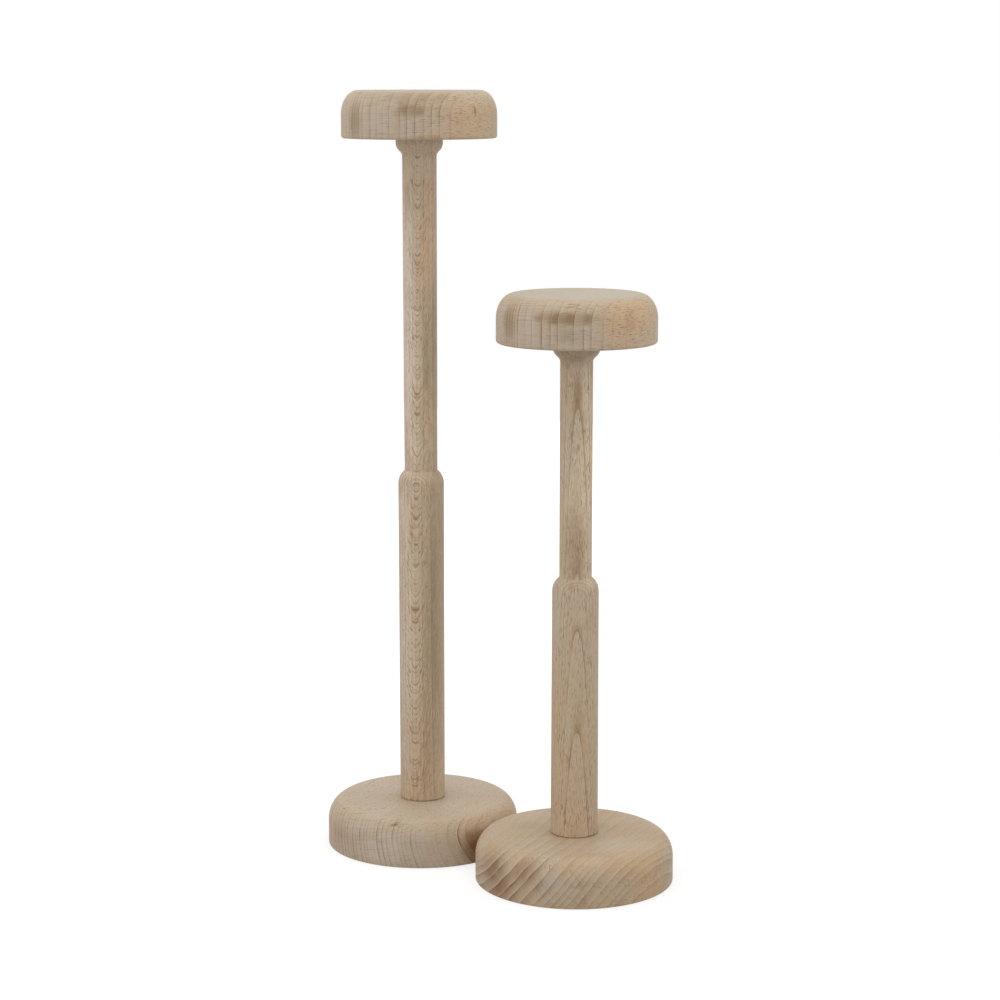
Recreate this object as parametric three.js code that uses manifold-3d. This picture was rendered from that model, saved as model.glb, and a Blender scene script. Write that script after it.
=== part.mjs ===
// A pair of turned beech display stands for hats, one tall and one short.
// Each stand is a base, a column turned from one length of wood, and a disc that the hat sits on.
// A screw from below holds the base to the column, and a glued dowel pin holds the disc.
// Millimetres, +Z up. The origin is on the table, midway between the two columns,
// and +X runs from the tall stand to the short one.

import * as THREE from "three";
import { mergeVertices } from "three/addons/utils/BufferGeometryUtils.js";
import Module from "manifold-3d";

// The base, the same on both stands
const baseDiameter = 120;
const baseThickness = 29;
const baseEdgeWidth = 11;
const baseEdgeHeight = 14;
const baseLowerRound = 1;

// The disc under the hat, the same on both stands
const discDiameter = 95.2;
const discThickness = 29;
const discEdgeWidth = 10.5;
const discEdgeHeight = 14.8;
const discLowerRound = 1.8;

// The column's turned shape: a round shoulder halfway up, and a collar under the disc
const shoulderRound = 10.5;
const collarBand = 2.6;
const collarRound = 7.2;
const collarCove = 4.2;

// The tall stand
const tallHeight = 473;
const tallShoulderHeight = 231;
const tallFootDiameter = 28.1;
const tallLowerDiameter = 28.6;
const tallUpperDiameter = 20.6;
const tallNeckDiameter = 21.1;
const tallCollarDiameter = 28.9;

// The short stand
const shortHeight = 356;
const shortShoulderHeight = 178.4;
const shortFootDiameter = 28.5;
const shortLowerDiameter = 28;
const shortUpperDiameter = 19.5;
const shortNeckDiameter = 19.4;
const shortCollarDiameter = 28.2;

// How far apart the two bases stand
const standGap = 1.5;

// The spigot turned on the foot of the column, which fits a mortise in the base
const spigotDiameter = 16;
const spigotLength = 14.5;
const spigotChamfer = 1;
const mortiseDepth = 15;
const glueClearance = 0.15;

// The countersunk wood screw that comes up through the base
const screwLength = 60;
const screwHeadDiameter = 9.6;
const screwHeadHeight = 3;
const screwHeadRim = 0.4;
const screwShankDiameter = 3.8;
const screwThreadDiameter = 5;
const screwPlainLength = 22;
const screwTipLength = 5;
const screwSink = 0.6;
const screwHoleClearance = 0.3;
const pilotEndRoom = 1.5;
const crossSpan = 4.8;
const crossWidth = 1.1;
const crossDepth = 2;

// The fluted dowel pin between the column and the disc
const dowelDiameter = 8;
const dowelLength = 35;
const dowelInDisc = 17;
const dowelEndRoom = 0.5;
const dowelFluteDepth = 0.35;
const dowelChamfer = 0.8;
const dowelFlutes = 12;

// How finely the round shapes are cut into flat faces
const discSides = 48;
const columnSides = 32;
const screwSides = 24;
const pointsPerFlute = 4;
const edgeSteps = 7;
const smallRoundSteps = 2;
const shoulderSteps = 6;
const collarSteps = 4;

// How far a cut runs past the face that it starts from
const cutOverrun = 0.5;

// Points closer together than this are one point
const mergeDistance = 0.0001;

const quarterTurn = Math.PI / 2;
const halfTurn = Math.PI;

const wasm = await Module();
wasm.setup();

// A point on the outline of a turned piece: its distance from the axis, and its height
function at(radius, height) {
  return new THREE.Vector2(radius, height);
}

// Points along part of an ellipse about a centre, reach wide and rise high, between two angles
function arc(centre, reach, rise, fromAngle, toAngle, steps) {
  const points = [];
  for (let step = 0; step <= steps; step += 1) {
    const angle = fromAngle + ((toAngle - fromAngle) * step) / steps;
    points.push(at(centre.x + reach * Math.cos(angle), centre.y + rise * Math.sin(angle)));
  }
  return points;
}

// An outline turned about the upright axis
function turned(outline, sides) {
  const geometry = new THREE.LatheGeometry(outline, sides);
  geometry.rotateX(quarterTurn);
  return geometry;
}

// A closed geometry as a solid that can be cut
function solidFrom(geometry) {
  const bare = geometry.clone();
  bare.deleteAttribute("normal");
  bare.deleteAttribute("uv");
  const merged = mergeVertices(bare, mergeDistance);
  const vertProperties = merged.getAttribute("position").array;
  const triVerts = new Uint32Array(merged.index.array);
  return new wasm.Manifold(new wasm.Mesh({ numProp: 3, vertProperties, triVerts }));
}

// A solid as a geometry that can be drawn
function geometryFrom(solid) {
  const mesh = solid.getMesh();
  const indexed = new THREE.BufferGeometry();
  indexed.setAttribute("position", new THREE.BufferAttribute(mesh.vertProperties, mesh.numProp));
  indexed.setIndex(new THREE.BufferAttribute(mesh.triVerts, 1));
  const geometry = indexed.toNonIndexed();
  geometry.computeVertexNormals();
  return geometry;
}

// The outer edge of a base or a disc: a small round below, and a wide soft round above
function turnedEdge(radius, bottom, thickness, lowerRound, edgeWidth, edgeHeight) {
  const lowerCentre = at(radius - lowerRound, bottom + lowerRound);
  const upperCentre = at(radius - edgeWidth, bottom + thickness - edgeHeight);
  return [
    ...arc(lowerCentre, lowerRound, lowerRound, -quarterTurn, 0, smallRoundSteps),
    ...arc(upperCentre, edgeWidth, edgeHeight, 0, quarterTurn, edgeSteps),
  ];
}

// The base has a mortise for the column's spigot, and a countersunk hole for the screw from below.
function baseGeometry() {
  const mortiseRadius = spigotDiameter / 2 + glueClearance;
  const mortiseFloor = baseThickness - mortiseDepth;
  const holeRadius = screwThreadDiameter / 2 + screwHoleClearance;
  const mouthRadius = screwHeadDiameter / 2 + screwHoleClearance;
  const coneSlope = screwHeadHeight / (screwHeadDiameter / 2 - screwShankDiameter / 2);
  const coneBottom = screwSink + screwHeadRim;
  const coneTop = coneBottom + (mouthRadius - holeRadius) * coneSlope;
  const outline = [
    at(mouthRadius, 0),
    ...turnedEdge(baseDiameter / 2, 0, baseThickness, baseLowerRound, baseEdgeWidth, baseEdgeHeight),
    at(mortiseRadius, baseThickness),
    at(mortiseRadius, mortiseFloor),
    at(holeRadius, mortiseFloor),
    at(holeRadius, coneTop),
    at(mouthRadius, coneBottom),
    at(mouthRadius, 0),
  ];
  return turned(outline, discSides);
}

// The rounded shoulder, from the side of the lower column up to the upper column
function shoulderOutline(stand) {
  const lowerRadius = stand.lowerDiameter / 2;
  const step = lowerRadius - stand.upperDiameter / 2;
  const round = Math.max(shoulderRound, step);
  const endAngle = Math.acos(1 - step / round);
  return arc(at(lowerRadius - round, stand.shoulderHeight), round, round, 0, endAngle, shoulderSteps);
}

// The collar's underside is a cove out of the neck that runs into a round, under a straight band.
function collarOutline(stand, columnTop) {
  const collarRadius = stand.collarDiameter / 2;
  const neckRadius = stand.neckDiameter / 2;
  const bothCurves = Math.max(collarRound + collarCove, collarRadius - neckRadius);
  const meetAngle = Math.acos(1 - (collarRadius - neckRadius) / bothCurves);
  const roundCentre = at(collarRadius - collarRound, columnTop - collarBand);
  const coveHeight = roundCentre.y - bothCurves * Math.sin(meetAngle);
  const coveCentre = at(neckRadius + collarCove, coveHeight);
  return [
    ...arc(coveCentre, collarCove, collarCove, halfTurn, halfTurn - meetAngle, collarSteps),
    ...arc(roundCentre, collarRound, collarRound, -meetAngle, 0, collarSteps).slice(1),
    at(collarRadius, columnTop),
  ];
}

// The column: a spigot below with the screw's pilot hole in it, and a dowel hole above
function columnGeometry(stand) {
  const columnTop = stand.height - discThickness;
  const spigotRadius = spigotDiameter / 2;
  const spigotEnd = baseThickness - spigotLength;
  const pilotRadius = screwThreadDiameter / 2 + glueClearance;
  const pilotEnd = screwSink + screwLength + pilotEndRoom;
  const dowelHoleRadius = dowelDiameter / 2 + glueClearance;
  const dowelHoleFloor = columnTop - (dowelLength - dowelInDisc) - dowelEndRoom;
  const outline = [
    at(0, pilotEnd),
    at(pilotRadius, pilotEnd),
    at(pilotRadius, spigotEnd),
    at(spigotRadius - spigotChamfer, spigotEnd),
    at(spigotRadius, spigotEnd + spigotChamfer),
    at(spigotRadius, baseThickness),
    at(stand.footDiameter / 2, baseThickness),
    ...shoulderOutline(stand),
    ...collarOutline(stand, columnTop),
    at(dowelHoleRadius, columnTop),
    at(dowelHoleRadius, dowelHoleFloor),
    at(0, dowelHoleFloor),
  ];
  return turned(outline, columnSides);
}

// The disc has a blind hole beneath for the dowel pin, so that its top is whole.
function discGeometry(stand) {
  const bottom = stand.height - discThickness;
  const holeRadius = dowelDiameter / 2 + glueClearance;
  const holeTop = bottom + dowelInDisc + dowelEndRoom;
  const outline = [
    at(0, holeTop),
    at(holeRadius, holeTop),
    at(holeRadius, bottom),
    ...turnedEdge(discDiameter / 2, bottom, discThickness, discLowerRound, discEdgeWidth, discEdgeHeight),
    at(0, stand.height),
  ];
  return turned(outline, discSides);
}

// The screw stands head down in the base, with a cross recess cut in its head.
function screwGeometry() {
  const headRadius = screwHeadDiameter / 2;
  const shankRadius = screwShankDiameter / 2;
  const threadRadius = screwThreadDiameter / 2;
  const coneBottom = screwSink + screwHeadRim;
  const threadBottom = screwSink + screwPlainLength;
  const screwTop = screwSink + screwLength;
  const outline = [
    at(0, screwSink),
    at(headRadius, screwSink),
    at(headRadius, coneBottom),
    at(shankRadius, coneBottom + screwHeadHeight),
    at(shankRadius, threadBottom),
    at(threadRadius, threadBottom + (threadRadius - shankRadius)),
    at(threadRadius, screwTop - screwTipLength),
    at(0, screwTop),
  ];
  const slotHeight = crossDepth + cutOverrun;
  const slotMiddle = screwSink + crossDepth - slotHeight / 2;
  const slotAlong = new THREE.BoxGeometry(crossSpan, crossWidth, slotHeight).translate(0, 0, slotMiddle);
  const slotAcross = new THREE.BoxGeometry(crossWidth, crossSpan, slotHeight).translate(0, 0, slotMiddle);
  const recess = solidFrom(slotAlong).add(solidFrom(slotAcross));
  return geometryFrom(solidFrom(turned(outline, screwSides)).subtract(recess));
}

// The dowel pin has straight flutes for the glue, and chamfered ends.
function dowelGeometry(stand) {
  const outline = [];
  const count = dowelFlutes * pointsPerFlute;
  for (let index = 0; index < count; index += 1) {
    const angle = (2 * Math.PI * index) / count;
    const flute = (dowelFluteDepth * (1 - Math.cos(dowelFlutes * angle))) / 2;
    const radius = dowelDiameter / 2 - flute;
    outline.push(at(radius * Math.cos(angle), radius * Math.sin(angle)));
  }
  const geometry = new THREE.ExtrudeGeometry(new THREE.Shape(outline), {
    depth: dowelLength - 2 * dowelChamfer,
    bevelEnabled: true,
    bevelThickness: dowelChamfer,
    bevelSize: dowelChamfer,
    bevelOffset: -dowelChamfer,
    bevelSegments: 1,
  });
  const dowelBottom = stand.height - discThickness + dowelInDisc - dowelLength;
  return geometry.translate(0, 0, dowelBottom + dowelChamfer);
}

// Beech, planed and sanded but unfinished, and a zinc-plated screw
const beechEdge = new THREE.MeshStandardMaterial({ color: 0xc9ab8a, roughness: 0.62, metalness: 0 });
const beechColumn = new THREE.MeshStandardMaterial({ color: 0xceb08f, roughness: 0.6, metalness: 0 });
const beechPin = new THREE.MeshStandardMaterial({ color: 0xc3a27c, roughness: 0.7, metalness: 0 });
const zincSteel = new THREE.MeshStandardMaterial({ color: 0xb9bcc0, roughness: 0.35, metalness: 1 });

function piece(name, geometry, material) {
  const mesh = new THREE.Mesh(geometry, material.clone());
  mesh.name = name;
  return mesh;
}

// One stand, about its own upright axis
function makeStand(stand) {
  const group = new THREE.Group();
  group.add(piece(`${stand.name}_base`, baseGeometry(), beechEdge));
  group.add(piece(`${stand.name}_column`, columnGeometry(stand), beechColumn));
  group.add(piece(`${stand.name}_disc`, discGeometry(stand), beechEdge));
  group.add(piece(`${stand.name}_base_screw`, screwGeometry(), zincSteel));
  group.add(piece(`${stand.name}_disc_dowel`, dowelGeometry(stand), beechPin));
  return group;
}

const tallStand = makeStand({
  name: "tall",
  height: tallHeight,
  shoulderHeight: tallShoulderHeight,
  footDiameter: tallFootDiameter,
  lowerDiameter: tallLowerDiameter,
  upperDiameter: tallUpperDiameter,
  neckDiameter: tallNeckDiameter,
  collarDiameter: tallCollarDiameter,
});

const shortStand = makeStand({
  name: "short",
  height: shortHeight,
  shoulderHeight: shortShoulderHeight,
  footDiameter: shortFootDiameter,
  lowerDiameter: shortLowerDiameter,
  upperDiameter: shortUpperDiameter,
  neckDiameter: shortNeckDiameter,
  collarDiameter: shortCollarDiameter,
});

// The two stand side by side, as far from each other as their bases and the gap between them ask.
const axisSpacing = baseDiameter + standGap;
tallStand.position.x = -axisSpacing / 2;
shortStand.position.x = axisSpacing / 2;

const pair = new THREE.Group();
pair.name = "hat_display_stands";
pair.add(tallStand, shortStand);

export default pair;
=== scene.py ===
# %% [markdown]
# # Two turned beech stands for hats
#
# The object is a pair of display stands, one tall and one short. Each is a round base, a column
# turned from one length of beech, and a round disc that goes inside the crown of a hat. A screw
# comes up through the base, and a dowel pin holds the disc.
#
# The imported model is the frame: it fixes where every piece is and how large. This lesson builds a
# finer skin for each piece in the same place, and then gives the wood its grain.

# %% The frame
import math

import bmesh
import bpy
from mathutils import Matrix, Vector


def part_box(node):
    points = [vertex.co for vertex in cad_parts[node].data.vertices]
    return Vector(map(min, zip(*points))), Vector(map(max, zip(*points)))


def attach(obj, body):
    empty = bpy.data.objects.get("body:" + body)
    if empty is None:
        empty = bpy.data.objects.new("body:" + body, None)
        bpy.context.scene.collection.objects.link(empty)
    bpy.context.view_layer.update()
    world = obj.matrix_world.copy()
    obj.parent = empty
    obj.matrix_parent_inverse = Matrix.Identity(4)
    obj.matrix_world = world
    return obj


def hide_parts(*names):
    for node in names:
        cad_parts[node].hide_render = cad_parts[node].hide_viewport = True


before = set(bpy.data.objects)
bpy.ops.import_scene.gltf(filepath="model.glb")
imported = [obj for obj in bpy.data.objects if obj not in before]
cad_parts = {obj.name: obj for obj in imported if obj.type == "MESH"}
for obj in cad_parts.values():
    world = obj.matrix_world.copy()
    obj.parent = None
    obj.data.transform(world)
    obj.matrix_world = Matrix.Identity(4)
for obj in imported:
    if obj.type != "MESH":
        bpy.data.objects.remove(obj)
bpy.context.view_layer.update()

# %% [markdown]
# ## Sizes
#
# The outside sizes of each piece are read from its box in the frame. What a box can't say, such as
# how wide a rounded edge is, has a named value beside the piece that needs it. The unit is the
# metre, so sizes are written as so many millimetres.

# %% The two stands
MM = 0.001
CM = 0.01


class Stand:
    """The sizes of one stand. What a box can say comes from the frame. Widths are given across."""

    def __init__(self, name, shoulder_height, foot, lower, upper, neck, collar):
        self.name = name
        self.body = name + "_stand"
        base_low, base_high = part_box(name + "_base")
        column_low, column_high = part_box(name + "_column")
        disc_low, disc_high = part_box(name + "_disc")
        screw_low, screw_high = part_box(name + "_base_screw")
        dowel_low, dowel_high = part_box(name + "_disc_dowel")
        self.axis = Vector(((base_low.x + base_high.x) / 2, (base_low.y + base_high.y) / 2, 0))
        self.base_radius = (base_high.x - base_low.x) / 2
        self.base_top = base_high.z
        self.spigot_end = column_low.z
        self.column_top = column_high.z
        self.disc_radius = (disc_high.x - disc_low.x) / 2
        self.disc_bottom = disc_low.z
        self.disc_top = disc_high.z
        self.screw_bottom = screw_low.z
        self.screw_top = screw_high.z
        self.screw_head_radius = (screw_high.x - screw_low.x) / 2
        self.dowel_bottom = dowel_low.z
        self.dowel_top = dowel_high.z
        self.dowel_radius = (dowel_high.x - dowel_low.x) / 2
        self.shoulder_height = shoulder_height
        self.foot_radius = foot / 2
        self.lower_radius = lower / 2
        self.upper_radius = upper / 2
        self.neck_radius = neck / 2
        self.collar_radius = collar / 2


tall = Stand(
    "tall", shoulder_height=231 * MM, foot=28.1 * MM, lower=28.6 * MM, upper=20.6 * MM,
    neck=21.1 * MM, collar=28.9 * MM,
)
short = Stand(
    "short", shoulder_height=178.4 * MM, foot=28.5 * MM, lower=28 * MM, upper=19.5 * MM,
    neck=19.4 * MM, collar=28.2 * MM,
)
stands = (tall, short)
for stand in stands:
    print(stand.name, "stand is", round(stand.disc_top / MM, 1), "mm high")

# %% [markdown]
# ## The camera
#
# The camera stands a little higher than the tall stand and looks slightly down. A long lens keeps
# both stands nearly free of perspective. Its place, heading and lens were worked out by fitting the
# outlines of the discs and bases. The lens and the sensor are in millimetres, as they always are.

# %% The camera
camera_place = Vector((0.9410, -1.1550, 0.4817))
camera_heading = math.radians(39.09)
camera_dip = math.radians(9.714)
focal_length = 89.312
sensor_width = 36

lens = bpy.data.cameras.new("camera")
lens.lens = focal_length
lens.sensor_width = sensor_width
camera = bpy.data.objects.new("camera", lens)
camera.location = camera_place
camera.rotation_euler = (math.pi / 2 - camera_dip, 0, camera_heading)
bpy.context.scene.collection.objects.link(camera)
bpy.context.scene.camera = camera
print("camera", round((camera_place - tall.axis).length, 3), "m from the foot of the tall stand")

# %% [markdown]
# ## Shader maths
#
# Grain is arithmetic: distances from the heart of the tree, turned into rings. Laid out as nodes it
# could hardly be read, so a small class wraps a socket, and sums on it are written as Python. Each
# sum adds its Math nodes. Every other node comes from the one method `node`.


# %% Sockets that can be used in sums
class Wire:
    """The output of a node. Sums with it add Math nodes to its tree."""

    def __init__(self, nodes, socket):
        self.nodes = nodes
        self.socket = socket

    def __add__(self, other):
        return self.nodes.math("ADD", self, other)

    def __radd__(self, other):
        return self.nodes.math("ADD", other, self)

    def __sub__(self, other):
        return self.nodes.math("SUBTRACT", self, other)

    def __rsub__(self, other):
        return self.nodes.math("SUBTRACT", other, self)

    def __mul__(self, other):
        return self.nodes.math("MULTIPLY", self, other)

    def __rmul__(self, other):
        return self.nodes.math("MULTIPLY", other, self)

    def __truediv__(self, other):
        return self.nodes.math("DIVIDE", self, other)

    def __pow__(self, other):
        return self.nodes.math("POWER", self, other)

    def __abs__(self):
        return self.nodes.math("ABSOLUTE", self)


# %% A tree of nodes
def bend(mapping, points):
    """Gives a curve its points, joined by straight lines. It starts out with two."""
    curve = mapping.curves[0]
    for _ in points[2:]:
        curve.points.new(0.5, 0.5)
    for knot, place in zip(curve.points, points):
        knot.location = place
        knot.handle_type = "VECTOR"
    mapping.update()


class Nodes:
    """The node tree of a material or of the world, emptied and filled again."""

    def __init__(self, owner):
        owner.use_nodes = True
        self.tree = owner.node_tree
        self.tree.nodes.clear()

    def node(self, kind, settings, inputs, output=0):
        """Adds a node: its settings are set first, then the values or links of its sockets."""
        made = self.tree.nodes.new(kind)
        for name, value in settings.items():
            if name == "curve":
                bend(made.mapping, value)
            else:
                setattr(made, name, value)
        for name, value in inputs.items():
            if isinstance(value, Wire):
                self.tree.links.new(value.socket, made.inputs[name])
            else:
                made.inputs[name].default_value = value
        return Wire(self, made.outputs[output] if made.outputs else None)

    def math(self, operation, *values):
        """One Math node, for the sums that have no sign in Python."""
        return self.node("ShaderNodeMath", {"operation": operation}, dict(enumerate(values)))

    def vector(self, operation, first, second, output=0):
        """Vector Math on two vectors, or on a vector and a number for each direction."""
        settings = {"operation": operation}
        return self.node("ShaderNodeVectorMath", settings, {0: first, 1: second}, output)

    def dot(self, first, second):
        """How well two directions agree: 1 is the same way, 0 is square, -1 is the opposite."""
        return self.vector("DOT_PRODUCT", first, second, "Value")

    def length(self, vector):
        """The length of a vector."""
        return self.node("ShaderNodeVectorMath", {"operation": "LENGTH"}, {0: vector}, "Value")

    def split(self, vector):
        """The three numbers of a vector."""
        return [self.node("ShaderNodeSeparateXYZ", {}, {0: vector}, axis) for axis in "XYZ"]

    def coordinates(self, output):
        """The place of a point on its own piece, or the way its surface faces."""
        return self.node("ShaderNodeTexCoord", {}, {}, output)

    def mix(self, share, first, second):
        """A colour between two others: the share is how much there is of the second."""
        return self.node("ShaderNodeMix", {"data_type": "RGBA"}, {0: share, 6: first, 7: second}, 2)

    def rise(self, value, start, end):
        """From 0 at the start to 1 at the end, level beyond both, with a soft bend at each."""
        settings = {"interpolation_type": "SMOOTHSTEP"}
        return self.node("ShaderNodeMapRange", settings, {0: value, 1: start, 2: end})

    def noise(self, place, scale, detail=2.0, roughness=0.5):
        """Soft random clouds from 0 to 1. The scale is how many there are to a unit, each way."""
        place = self.vector("MULTIPLY", place, scale)
        inputs = {"Vector": place, "Scale": 1.0, "Detail": detail, "Roughness": roughness}
        return self.node("ShaderNodeTexNoise", {}, inputs)

    def bump(self, height, strength, distance):
        """The way a surface faces that rises and falls by this distance."""
        inputs = {"Height": height, "Strength": strength, "Distance": distance}
        return self.node("ShaderNodeBump", {}, inputs)

    def principled(self, sockets):
        """The shader of a whole material, joined to its output."""
        shader = self.node("ShaderNodeBsdfPrincipled", {}, sockets)
        self.node("ShaderNodeOutputMaterial", {}, {"Surface": shader})


# %% Colours
def linear(level):
    """A screen level from 0 to 255 as linear light, by the standard curve of screens."""
    share = level / 255
    return share / 12.92 if share <= 0.04045 else ((share + 0.055) / 1.055) ** 2.4


def paint(red, green, blue):
    """A colour given in screen levels."""
    return (linear(red), linear(green), linear(blue), 1.0)


# %% [markdown]
# ## Beech
#
# Bare beech has four things to see. Growth rings lie round the heart of the tree, each a little
# darker towards the bark and ending in a thin line. Rays are flat ribbons that run out from the
# heart: they show as short brown dashes where the cut faces the bark, as rows of small arcs where
# it lies along them, and as fine lines across end grain. Pores are hair-fine. And the colour drifts
# slowly, pinker on end grain and warmer along the side.
#
# A texture painted on the surface would have to be bent by hand where a cut turns from side grain
# to end grain. So the grain is a solid block instead: every point of a piece works out its place in
# the tree, and the turned shape simply cuts through it.


# %% Where a piece lay in the tree
class Board:
    """The block of wood that a piece was turned from, measured in millimetres.

    The centre is a place in the scene, in metres. The bow is the radius of the rings, the fan is
    how far off the rays meet, and the height is the piece's own in the trunk. A ring is the place
    where it ends, with its strength.
    """

    def __init__(self, centre, fibre, outward, bow, fan, height, rings):
        self.centre = centre
        self.along = fibre.normalized()
        self.out = (outward - outward.project(self.along)).normalized()
        self.across = self.along.cross(self.out)
        self.bow = bow
        self.fan = fan
        self.height = height
        self.rings = sorted(rings)

    def turn(self):
        """Turns a direction of the scene into outward, across and along the trunk."""
        return Matrix((self.out, self.across, self.along))


def heading(degrees):
    """A level direction, counted from +X towards +Y."""
    return Vector((math.cos(math.radians(degrees)), math.sin(math.radians(degrees)), 0))


# %% [markdown]
# Each part of the grain gets a function of its own. The first one turns a point of the piece into a
# place in the trunk, in millimetres. Every piece lies at a height of its own there, so that no two
# have the same specks. The fibres of a real tree sway a little, and the rings and rays sway with
# them, so soft noise is added here, once for all.


# %% A place in the trunk
metres_to_mm = (1 / MM, 1 / MM, 1 / MM)
sway_detail = 1.5
noise_middle = (0.5, 0.5, 0.5)


def trunk_place(nodes, board, sway, sway_size):
    """The place in the trunk, straight and swayed, from the piece's own coordinates."""
    place = nodes.coordinates("Object")
    straight = nodes.node("ShaderNodeMapping", {"vector_type": "POINT"}, {
        "Vector": place,
        "Location": Vector((0, 0, board.height)) - (board.turn() @ board.centre) / MM,
        "Rotation": board.turn().to_euler(),
        "Scale": metres_to_mm,
    })
    clouds = nodes.vector("DIVIDE", straight, sway_size)
    inputs = {"Vector": clouds, "Scale": 1.0, "Detail": sway_detail}
    shift = nodes.node("ShaderNodeTexNoise", {}, inputs, "Color")
    shift = nodes.vector("SUBTRACT", shift, noise_middle)
    swayed = nodes.vector("ADD", straight, nodes.vector("MULTIPLY", shift, sway))
    return place, straight, swayed


# %% [markdown]
# Trees don't grow evenly, so the rings of a piece are a list of the places where they end, each
# with its strength. One curve node turns the depth in the trunk into a count of rings, and a second
# one turns the count into a strength. What is left of the count after the whole rings is the place
# within a ring.


# %% Rings
def ring_shades(nodes, board, depth, look):
    """How dark the ring makes a point, how light its spring wood does, and the ring's own tone."""
    first = board.rings[0][0]
    reach = board.rings[-1][0] - first
    steps = len(board.rings) - 1
    strongest = max(strength for end, strength in board.rings)
    places = []
    strengths = []
    for step, (end, strength) in enumerate(board.rings):
        places.append(((end - first) / reach, step / steps))
        strengths.append((step / steps, strength / strongest))
    place = (depth - first) / reach
    share = nodes.node("ShaderNodeFloatCurve", {"curve": places}, {"Value": place})
    own = nodes.node("ShaderNodeFloatCurve", {"curve": strengths}, {"Value": share}) * strongest
    count = share * steps
    ring = nodes.math("FRACT", count)
    number = {"W": nodes.math("FLOOR", count)}
    tone = nodes.node("ShaderNodeTexWhiteNoise", {"noise_dimensions": "1D"}, number, "Value")
    band = ring ** look["band_power"] * look["band"]
    line = ring ** look["line_power"] * look["line"]
    spring = (1 - ring) ** look["spring_power"] * look["spring"]
    dark = nodes.math("MINIMUM", (band + line) * own, 1.0)
    return dark, nodes.math("MINIMUM", spring * own, 1.0), tone


# %% [markdown]
# A ray is a ribbon: thin round the trunk, a few millimetres tall along it, and long outward. Cells
# of a Voronoi texture in the first two directions place them, and the third is left out. A kind of
# ray is given by the width and height of its cells, the share of a cell that it fills, and its
# strength. Each ray also has a chance of its own, which makes it small and faint or large and dark.

# %% Rays
ray_soft_edge = 0.07
ray_least_reach = 0.35
ray_reach_spread = 0.8
ray_least_strength = 0.4
ray_strength_spread = 0.6


def ray_shades(nodes, girth, along, kinds):
    """How much ray there is at a point, from 0 to 1, for a few kinds laid over each other."""
    settings = {"voronoi_dimensions": "2D", "feature": "F1"}
    amount = 0
    for width, height, reach, strength in kinds:
        cell = nodes.node("ShaderNodeCombineXYZ", {}, {"X": girth / width, "Y": along / height})
        inputs = {"Vector": cell, "Scale": 1.0}
        away = nodes.node("ShaderNodeTexVoronoi", settings, inputs, "Distance")
        chance = nodes.node("ShaderNodeTexVoronoi", settings, inputs, "Color")
        chance = nodes.node("ShaderNodeSeparateColor", {}, {0: chance}, "Red")
        radius = reach * (ray_least_reach + ray_reach_spread * chance)
        ribbon = nodes.rise(radius - away, 0.0, ray_soft_edge)
        darkness = ray_least_strength + ray_strength_spread * chance
        amount = ribbon * strength * darkness + amount
    return amount


# %% [markdown]
# Which way a cut faces changes what it shows. End grain is cut straight across the fibres. A
# quartered cut faces round the trunk and runs along the rays. Flat faces, up and down, were sanded
# finest. Their colour is drawn towards a grey of its own: sanding dust in the grain, and painted
# light from above, which greys the bases and greys and darkens the discs.

# %% Which way the cut faces
end_grain_limits = (0.25, 0.95)
quartered_limits = (0.7, 0.97)
flat_limits = (0.75, 1.0)
sanded_limits = (0.1, 0.85)


def cut_shares(nodes, board):
    """How far a cut is end grain, quartered, flat and sanded, each from 0 to 1."""
    normal = nodes.coordinates("Normal")
    upward = abs(nodes.dot(normal, (0, 0, 1)))
    return (
        nodes.rise(abs(nodes.dot(normal, board.along)), *end_grain_limits),
        nodes.rise(abs(nodes.dot(normal, board.across)), *quartered_limits),
        nodes.rise(upward, *flat_limits),
        nodes.rise(upward, *sanded_limits),
    )


# %% [markdown]
# A mark is a soft blot with a place, a reach in three directions, a colour and a strength. A noise
# makes its edge ragged, and each ring takes it up a little more or less, by its own tone.

# %% Laying marks over the wood
mark_limits = (1.0, 0.2)
mark_raggedness = 0.8


def add_marks(nodes, colour, board, marks, place, cloud, tone):
    """The colour with the marks of one piece over it."""
    for mark_place, reach, mark_colour, strength in marks:
        offset = nodes.node("ShaderNodeMapping", {"vector_type": "POINT"}, {
            "Vector": nodes.vector("SUBTRACT", place, mark_place),
            "Rotation": board.turn().to_euler(),
            "Scale": metres_to_mm,
        })
        away = nodes.length(nodes.vector("DIVIDE", offset, reach))
        ragged = away + (cloud - 0.5) * mark_raggedness
        amount = nodes.rise(ragged, *mark_limits) * tone * strength
        colour = nodes.mix(nodes.math("MINIMUM", amount, 1.0), colour, mark_colour)
    return colour


# %% [markdown]
# The beech itself lays all this over each other, from the widest to the finest: slow drifts of
# colour, marks, rings, rays, silk, fibres and pores. Silk is sheets far thinner than a ray, which
# make the small nested arcs of a quartered cut. A scale is a number of clouds to the millimetre,
# outward, across and along the trunk.

# %% Colours of beech
beech_early = paint(197, 178, 151)
beech_late = paint(126, 92, 60)
beech_spring = paint(208, 193, 168)
beech_ray = paint(136, 96, 62)
beech_silk = paint(162, 104, 68)
beech_warm = paint(196, 165, 126)
beech_end = paint(188, 174, 158)

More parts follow.
